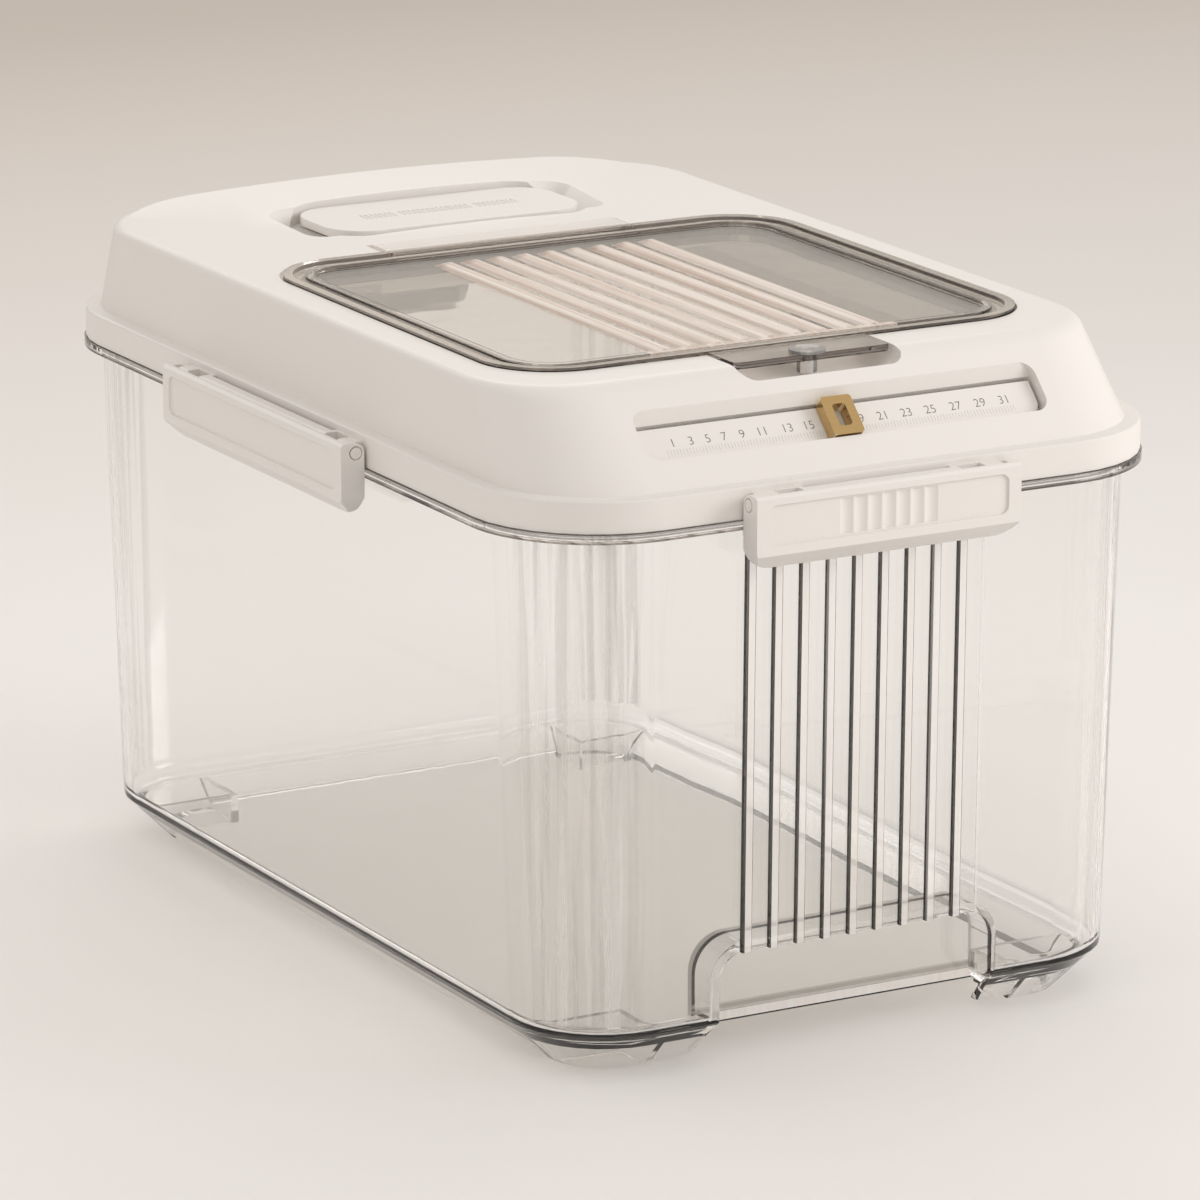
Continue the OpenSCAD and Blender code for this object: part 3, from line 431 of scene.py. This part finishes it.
# Painted highlights on the hand grip's sill and on the edges of its back.
SILL_BOX = ((-0.056, -0.161, 0.0105), (0.056, -0.159, 0.0135))
SILL_HIGHLIGHT_SHARE = 0.8
GRIP_BACK_BOX = ((-0.055, -0.1596, 0.010), (0.055, -0.1570, 0.042))
GRIP_BACK_HIGHLIGHT_SHARE = 0.7
GRIP_BACK_SPAN = (0.3, 0.8)

# Painted reflection streaks down the tub's corners, on faces that look diagonally.
CORNER_BOX = ((None, None, 0.018), (None, None, 0.1786))
CORNER_REFLECTION_STREAKS = ((330.0, 330.0, 0.1), 0.0)
CORNER_REFLECTION_SPAN = (0.50, 0.60)
CORNER_REFLECTION_SHARE = 0.28
DIAGONAL_SPAN = (0.2, 0.4)

# Painted shade lines along the flange's lower and upper edges.
FLANGE_PAINTED_SHADE = rgb(0.22, 0.20, 0.19)
FLANGE_SHADE_HEIGHT = 0.0007
TUB_TINT = rgb(0.985, 0.985, 0.98)
TUB_SHADOW = rgb(0.95, 0.94, 0.925)
TUB_PLACES = (
    # The ribs' sides, in painted shade.
    RIB_BOX + (X_AXIS, EDGE_PAINTED_SHADE),
    # A painted shade line around the foot of the walls, and the grip's back, where a paler painted grey takes
    # its place.
    ((None, None, 0.0141), (None, None, 0.0156), "outward", EDGE_PAINTED_SHADE),
    # Paler painted grey on the grip's back, where the foot's painted shade line crosses it.
    ((-0.054, -0.1640, 0.0138), (0.054, -0.1560, 0.0158), None, rgb(0.62, 0.60, 0.58)),
    # The edge of the hand grip's opening in the front wall, in painted shade.
    ((-0.0525, -0.1746, 0.0150), (0.0525, -0.1716, 0.0392), "side", EDGE_PAINTED_SHADE),
    # The flange's lower and upper edges, in painted shade.
    ((None, None, 0.17865), (None, None, 0.17865 + FLANGE_SHADE_HEIGHT), None, FLANGE_PAINTED_SHADE),
    ((None, None, 0.1811), (None, None, 0.1811 + FLANGE_SHADE_HEIGHT), None, FLANGE_PAINTED_SHADE),
)


def pale_edges(tree):
    """Painted highlights on the tub: the ribs' flat faces, the grip's sill and back edge, and reflection
    streaks in the corners.
    """
    lines = tree.ramp(tree.streaks(*RIB_SHEEN_LINES), SHEEN_LINES_SPAN)
    milk_and_sheen = tree.mix_color(lines, RIB_HIGHLIGHT_WARM, RIB_HIGHLIGHT_PALE)
    on_ribs = tree.product(tree.inside(*RIB_BOX), tree.stripes(X_AXIS, RIB_FIRST, RIB_PITCH, RIB_WIDTH))
    ribs = tree.product(on_ribs, tree.facing(Y_AXIS, FLAT_FRONT_SPAN), RIB_HIGHLIGHT_SHARE)
    sill = tree.product(tree.inside(*SILL_BOX), tree.facing(Y_AXIS, FLAT_FRONT_SPAN), SILL_HIGHLIGHT_SHARE)
    back = tree.product(tree.inside(*GRIP_BACK_BOX), tree.not_facing(Y_AXIS, GRIP_BACK_SPAN),
                        GRIP_BACK_HIGHLIGHT_SHARE)
    diagonal = tree.product(tree.facing(X_AXIS, DIAGONAL_SPAN), tree.facing(Y_AXIS, DIAGONAL_SPAN))
    # Painted reflection streaks in the corners.
    flow = tree.ramp(tree.streaks(*CORNER_REFLECTION_STREAKS), CORNER_REFLECTION_SPAN, (0.0, CORNER_REFLECTION_SHARE))
    corners = tree.product(diagonal, tree.inside(*CORNER_BOX), flow)
    veil = ribs
    for other in (corners, tree.math("MAXIMUM", sill, back)):
        veil = tree.math("MAXIMUM", veil, other)
    return veil, milk_and_sheen, CLEAR_ROUGHNESS


# ---- the finishes ----

FINISHES = {
    "lid_plastic": moulded_plastic("lid_plastic", rgb(0.79, 0.755, 0.72), 0.33),
    "clear_plastic": clear_plastic("clear_plastic", TUB_TINT, TUB_SHADOW, TUB_PLACES, pale_edges),
    "smoked_plastic": clear_plastic("smoked_plastic", SMOKED_TINT, SMOKED_SHADOW, SMOKED_PLACES,
                                    frosted_ridges),
    "pale_silicone": silicone("pale_silicone", rgb(0.70, 0.68, 0.66), 0.5),
    "dark_silicone": silicone("dark_silicone", rgb(0.035, 0.032, 0.03), 0.45),
    "gold_plastic": gold_plastic(),
    "steel": steel_wire(),
}
CLEAR_SILICONE = clear_silicone()
INK = printed_grey("printed_grey", rgb(0.16, 0.145, 0.13), rgb(0.30, 0.28, 0.26))
PALE_INK = printed_grey("pale_print", rgb(0.58, 0.55, 0.52), rgb(0.70, 0.67, 0.64))


# ---- shells: CAD solids with their edges softened ----

# Edge radius in millimetres; the other nodes are shown as they are.
SOFT_EDGES = {"tub": 0.35, "lid_frame": 0.5, "flip_lid": 0.3, "desiccant_cover": 0.5, "date_marker": 0.4,
              "scale_strip": 0.2, "latch_front": 0.5, "latch_right": 0.5, "latch_back": 0.5,
              "latch_left": 0.5}
EDGE_SEGMENTS = 2
ROUND_PROFILE = 0.5
SAME_POINT = 0.004 * MM
SAME_FLAT = math.radians(0.3)
SHARP_EDGE = math.radians(28.0)
SHADING_CREASE = math.radians(50.0)


def is_sharp(edge):
    return len(edge.link_faces) == 2 and edge.calc_face_angle(0.0) > SHARP_EDGE


def softened(node, slot, radius):
    """A copy of a CAD node with merged flats, small rounded edges and smooth shading, in the node's place."""
    mesh = NODES[node].data.copy()
    mesh.materials.clear()
    mesh.materials.append(FINISHES[slot])
    work = bmesh.new()
    work.from_mesh(mesh)
    bmesh.ops.remove_doubles(work, verts=work.verts, dist=SAME_POINT)
    bmesh.ops.dissolve_limit(work, angle_limit=SAME_FLAT, verts=work.verts, edges=work.edges)
    edges = [edge for edge in work.edges if is_sharp(edge)]
    bmesh.ops.bevel(work, geom=edges, offset=radius, offset_type="OFFSET", segments=EDGE_SEGMENTS,
                    profile=ROUND_PROFILE, affect="EDGES", clamp_overlap=True)
    for face in work.faces:
        face.smooth = True
    work.to_mesh(mesh)
    work.free()
    mesh.set_sharp_from_angle(angle=SHADING_CREASE)
    piece = bpy.data.objects.new(node + "_shell", mesh)
    bpy.context.scene.collection.objects.link(piece)
    even = piece.modifiers.new("even_shading", "WEIGHTED_NORMAL")
    even.keep_sharp = True
    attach(piece, BODY_OF[node])
    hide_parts(node)


def dress():
    """Put each CAD node in its slot's material; the tab bumper is a clear silicone."""
    for part in SUBPARTS:
        materials = NODES[part["node"]].data.materials
        materials.clear()
        materials.append(FINISHES[part["material_slot"]])
    NODES["tab_bumper"].data.materials[0] = CLEAR_SILICONE


def soften():
    for part in SUBPARTS:
        node = part["node"]
        if node in SOFT_EDGES:
            softened(node, part["material_slot"], SOFT_EDGES[node] * MM)


# ---- printed scale ----

SLOPE_FOOT = Vector((0.0, -176.7, 192.5)) * MM
STRIP_FACE = -3.6 * MM
INK_LIFT = 0.03 * MM

NUMBER_LINE = 19.0 * MM
NUMBER_HEIGHT = 3.1 * MM
NUMBER_THINNING = -0.05 * MM
DIGIT_SHARE = 0.7
# Each number's place along the strip, in millimetres, as the photo shows them: not quite evenly spaced.
NUMBER_X = (-61.2, -54.6, -48.5, -42.7, -36.1, -28.8, -19.6, -11.8,
            -2.6, 6.6, 15.6, 24.4, 33.3, 42.7, 51.9, 61.0)

TICK_LINE = 15.6 * MM
TICK_PITCH = 1.15 * MM
TICK_MARGIN = 3.0 * MM
TICK_WIDTH = 0.22 * MM
TICK_HEIGHT = 2.0 * MM
LONG_TICK_EVERY = 4
LONG_TICK_HEIGHT = 2.5 * MM


def strip_frame(x, up):
    """Matrix that lays a flat drawing on the strip, its Y up the slope."""
    place = SLOPE_FOOT + Vector((x, 0.0, 0.0)) + SLOPE_UP * up + SLOPE_OUT * STRIP_FACE
    return Matrix((
        (1.0, SLOPE_UP.x, SLOPE_OUT.x, place.x),
        (0.0, SLOPE_UP.y, SLOPE_OUT.y, place.y),
        (0.0, SLOPE_UP.z, SLOPE_OUT.z, place.z),
        (0.0, 0.0, 0.0, 1.0)))


def place_print(piece):
    bpy.context.scene.collection.objects.link(piece)
    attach(piece, "lid")


def make_numbers():
    """Odd day numbers 1 to 31, each a thin raised print."""
    for i, x in enumerate(NUMBER_X):
        day = 2 * i + 1
        name = "day_%02d" % day
        curve = bpy.data.curves.new(name, "FONT")
        curve.body = str(day)
        curve.size = NUMBER_HEIGHT / DIGIT_SHARE
        curve.align_x = "CENTER"
        curve.align_y = "CENTER"
        curve.extrude = INK_LIFT
        curve.offset = NUMBER_THINNING
        curve.materials.append(INK)
        number = bpy.data.objects.new(name, curve)
        number.matrix_world = strip_frame(x * MM, NUMBER_LINE)
        place_print(number)


def make_ticks():
    """Fine raised lines below the numbers, one mesh."""
    work = bmesh.new()
    first = NUMBER_X[0] * MM - TICK_MARGIN
    last = NUMBER_X[-1] * MM + TICK_MARGIN
    for i in range(int((last - first) / TICK_PITCH) + 1):
        height = LONG_TICK_HEIGHT if i % LONG_TICK_EVERY == 0 else TICK_HEIGHT
        size = Matrix.Diagonal((TICK_WIDTH, height, 2 * INK_LIFT, 1.0))
        made = bmesh.ops.create_cube(work, size=1.0)
        place = strip_frame(first + i * TICK_PITCH, TICK_LINE)
        bmesh.ops.transform(work, verts=made["verts"], matrix=place @ size)
    mesh = bpy.data.meshes.new("day_ticks")
    work.to_mesh(mesh)
    work.free()
    mesh.materials.append(PALE_INK)
    place_print(bpy.data.objects.new("day_ticks", mesh))


# ---- floor and light ----

FLOOR_SPECKS = (6.0, 4.0)
FLOOR_NEAR = (rgb(0.855, 0.83, 0.805), rgb(0.885, 0.86, 0.84))
# Painted shade: the floor darkens to beige from 0.4 m to 1.6 m behind the bin.
FLOOR_FAR_SHADE = rgb(0.60, 0.54, 0.485)
FLOOR_SHADE_FADE = (0.40, 1.60)
FLOOR_ROUGHNESS = 0.7
FLOOR_SHEEN = 0.15
FLOOR_HALF = 12.0
FLOOR_DROP = 0.2 * MM

# Colour and strength of the world as a background, and as a light.
WORLD_SEEN = (rgb(0.72, 0.67, 0.61), 1.0)
WORLD_LIGHT = (rgb(1.0, 0.965, 0.93), 0.82)

LIGHT_TARGET = Vector((0.0, 0.0, 0.12))
# Name, place, size, watts, colour, spread in degrees, and whether glossy rays see the lamp.
LIGHTS = (
    ("key", (0.95, -0.74, 0.62), (0.70, 0.70), 1.35, (0.99, 0.98, 0.975), 70.0, False),
    ("rim", (0.25, 1.6, 1.05), (1.8, 0.35), 4.0, (0.99, 0.985, 0.985), 180.0, True),
    ("fill", (-1.35, -0.40, 0.50), (0.15, 0.40), 0.6, (1.0, 0.97, 0.95), 180.0, True),
)


def make_stage():
    """A plain pale floor with painted shade well behind the bin, where it turns to a darker beige, so that
    the white lid stands out.
    """
    tree = material_tree("floor_material")
    near = tree.mix_color(tree.ramp(tree.noise(*FLOOR_SPECKS), WHOLE_NOISE), *FLOOR_NEAR)
    shade_away = tree.ramp(tree.split(tree.coordinate())[Y_AXIS], FLOOR_SHADE_FADE)
    base = tree.mix_color(shade_away, near, FLOOR_FAR_SHADE)
    tree.surface(tree.principled(Base_Color=base, Roughness=FLOOR_ROUGHNESS, Specular_IOR_Level=FLOOR_SHEEN))
    mesh = bpy.data.meshes.new("floor")
    corners = [(-FLOOR_HALF, -FLOOR_HALF, 0), (FLOOR_HALF, -FLOOR_HALF, 0),
               (FLOOR_HALF, FLOOR_HALF, 0), (-FLOOR_HALF, FLOOR_HALF, 0)]
    mesh.from_pydata(corners, [], [(0, 1, 2, 3)])
    mesh.materials.append(tree.owner)
    floor = bpy.data.objects.new("floor", mesh)
    floor.location.z = -FLOOR_DROP
    bpy.context.scene.collection.objects.link(floor)


def make_world():
    """A warm sky that lights the bin, and a duller one where it is seen directly, mirrored or refracted."""
    world = bpy.data.worlds.new("studio")
    bpy.context.scene.world = world
    tree = Tree(world, "ShaderNodeOutputWorld")
    lit, seen = (tree.add("ShaderNodeBackground", {"Color": color, "Strength": strength}).outputs[0]
                 for color, strength in (WORLD_LIGHT, WORLD_SEEN))
    ray = tree.add("ShaderNodeLightPath").outputs
    shown = tree.math("MAXIMUM", ray["Is Camera Ray"], ray["Is Glossy Ray"])
    shown = tree.math("MAXIMUM", shown, ray["Is Transmission Ray"])
    tree.surface(tree.mix_shader(shown, lit, seen))


def area_light(name, place, size, power, color, spread, mirrored):
    data = bpy.data.lights.new(name, "AREA")
    data.shape = "RECTANGLE"
    data.size = size[0]
    data.size_y = size[1]
    data.energy = power
    data.color = color
    data.spread = math.radians(spread)
    lamp = bpy.data.objects.new(name, data)
    lamp.location = place
    lamp.visible_glossy = mirrored
    lamp.rotation_euler = (Vector(place) - LIGHT_TARGET).to_track_quat("Z", "Y").to_euler()
    bpy.context.scene.collection.objects.link(lamp)


make_camera()
make_stage()
make_world()
for light in LIGHTS:
    area_light(*light)
dress()
soften()
make_numbers()
make_ticks()

bpy.context.scene.view_settings.view_transform = "Standard"
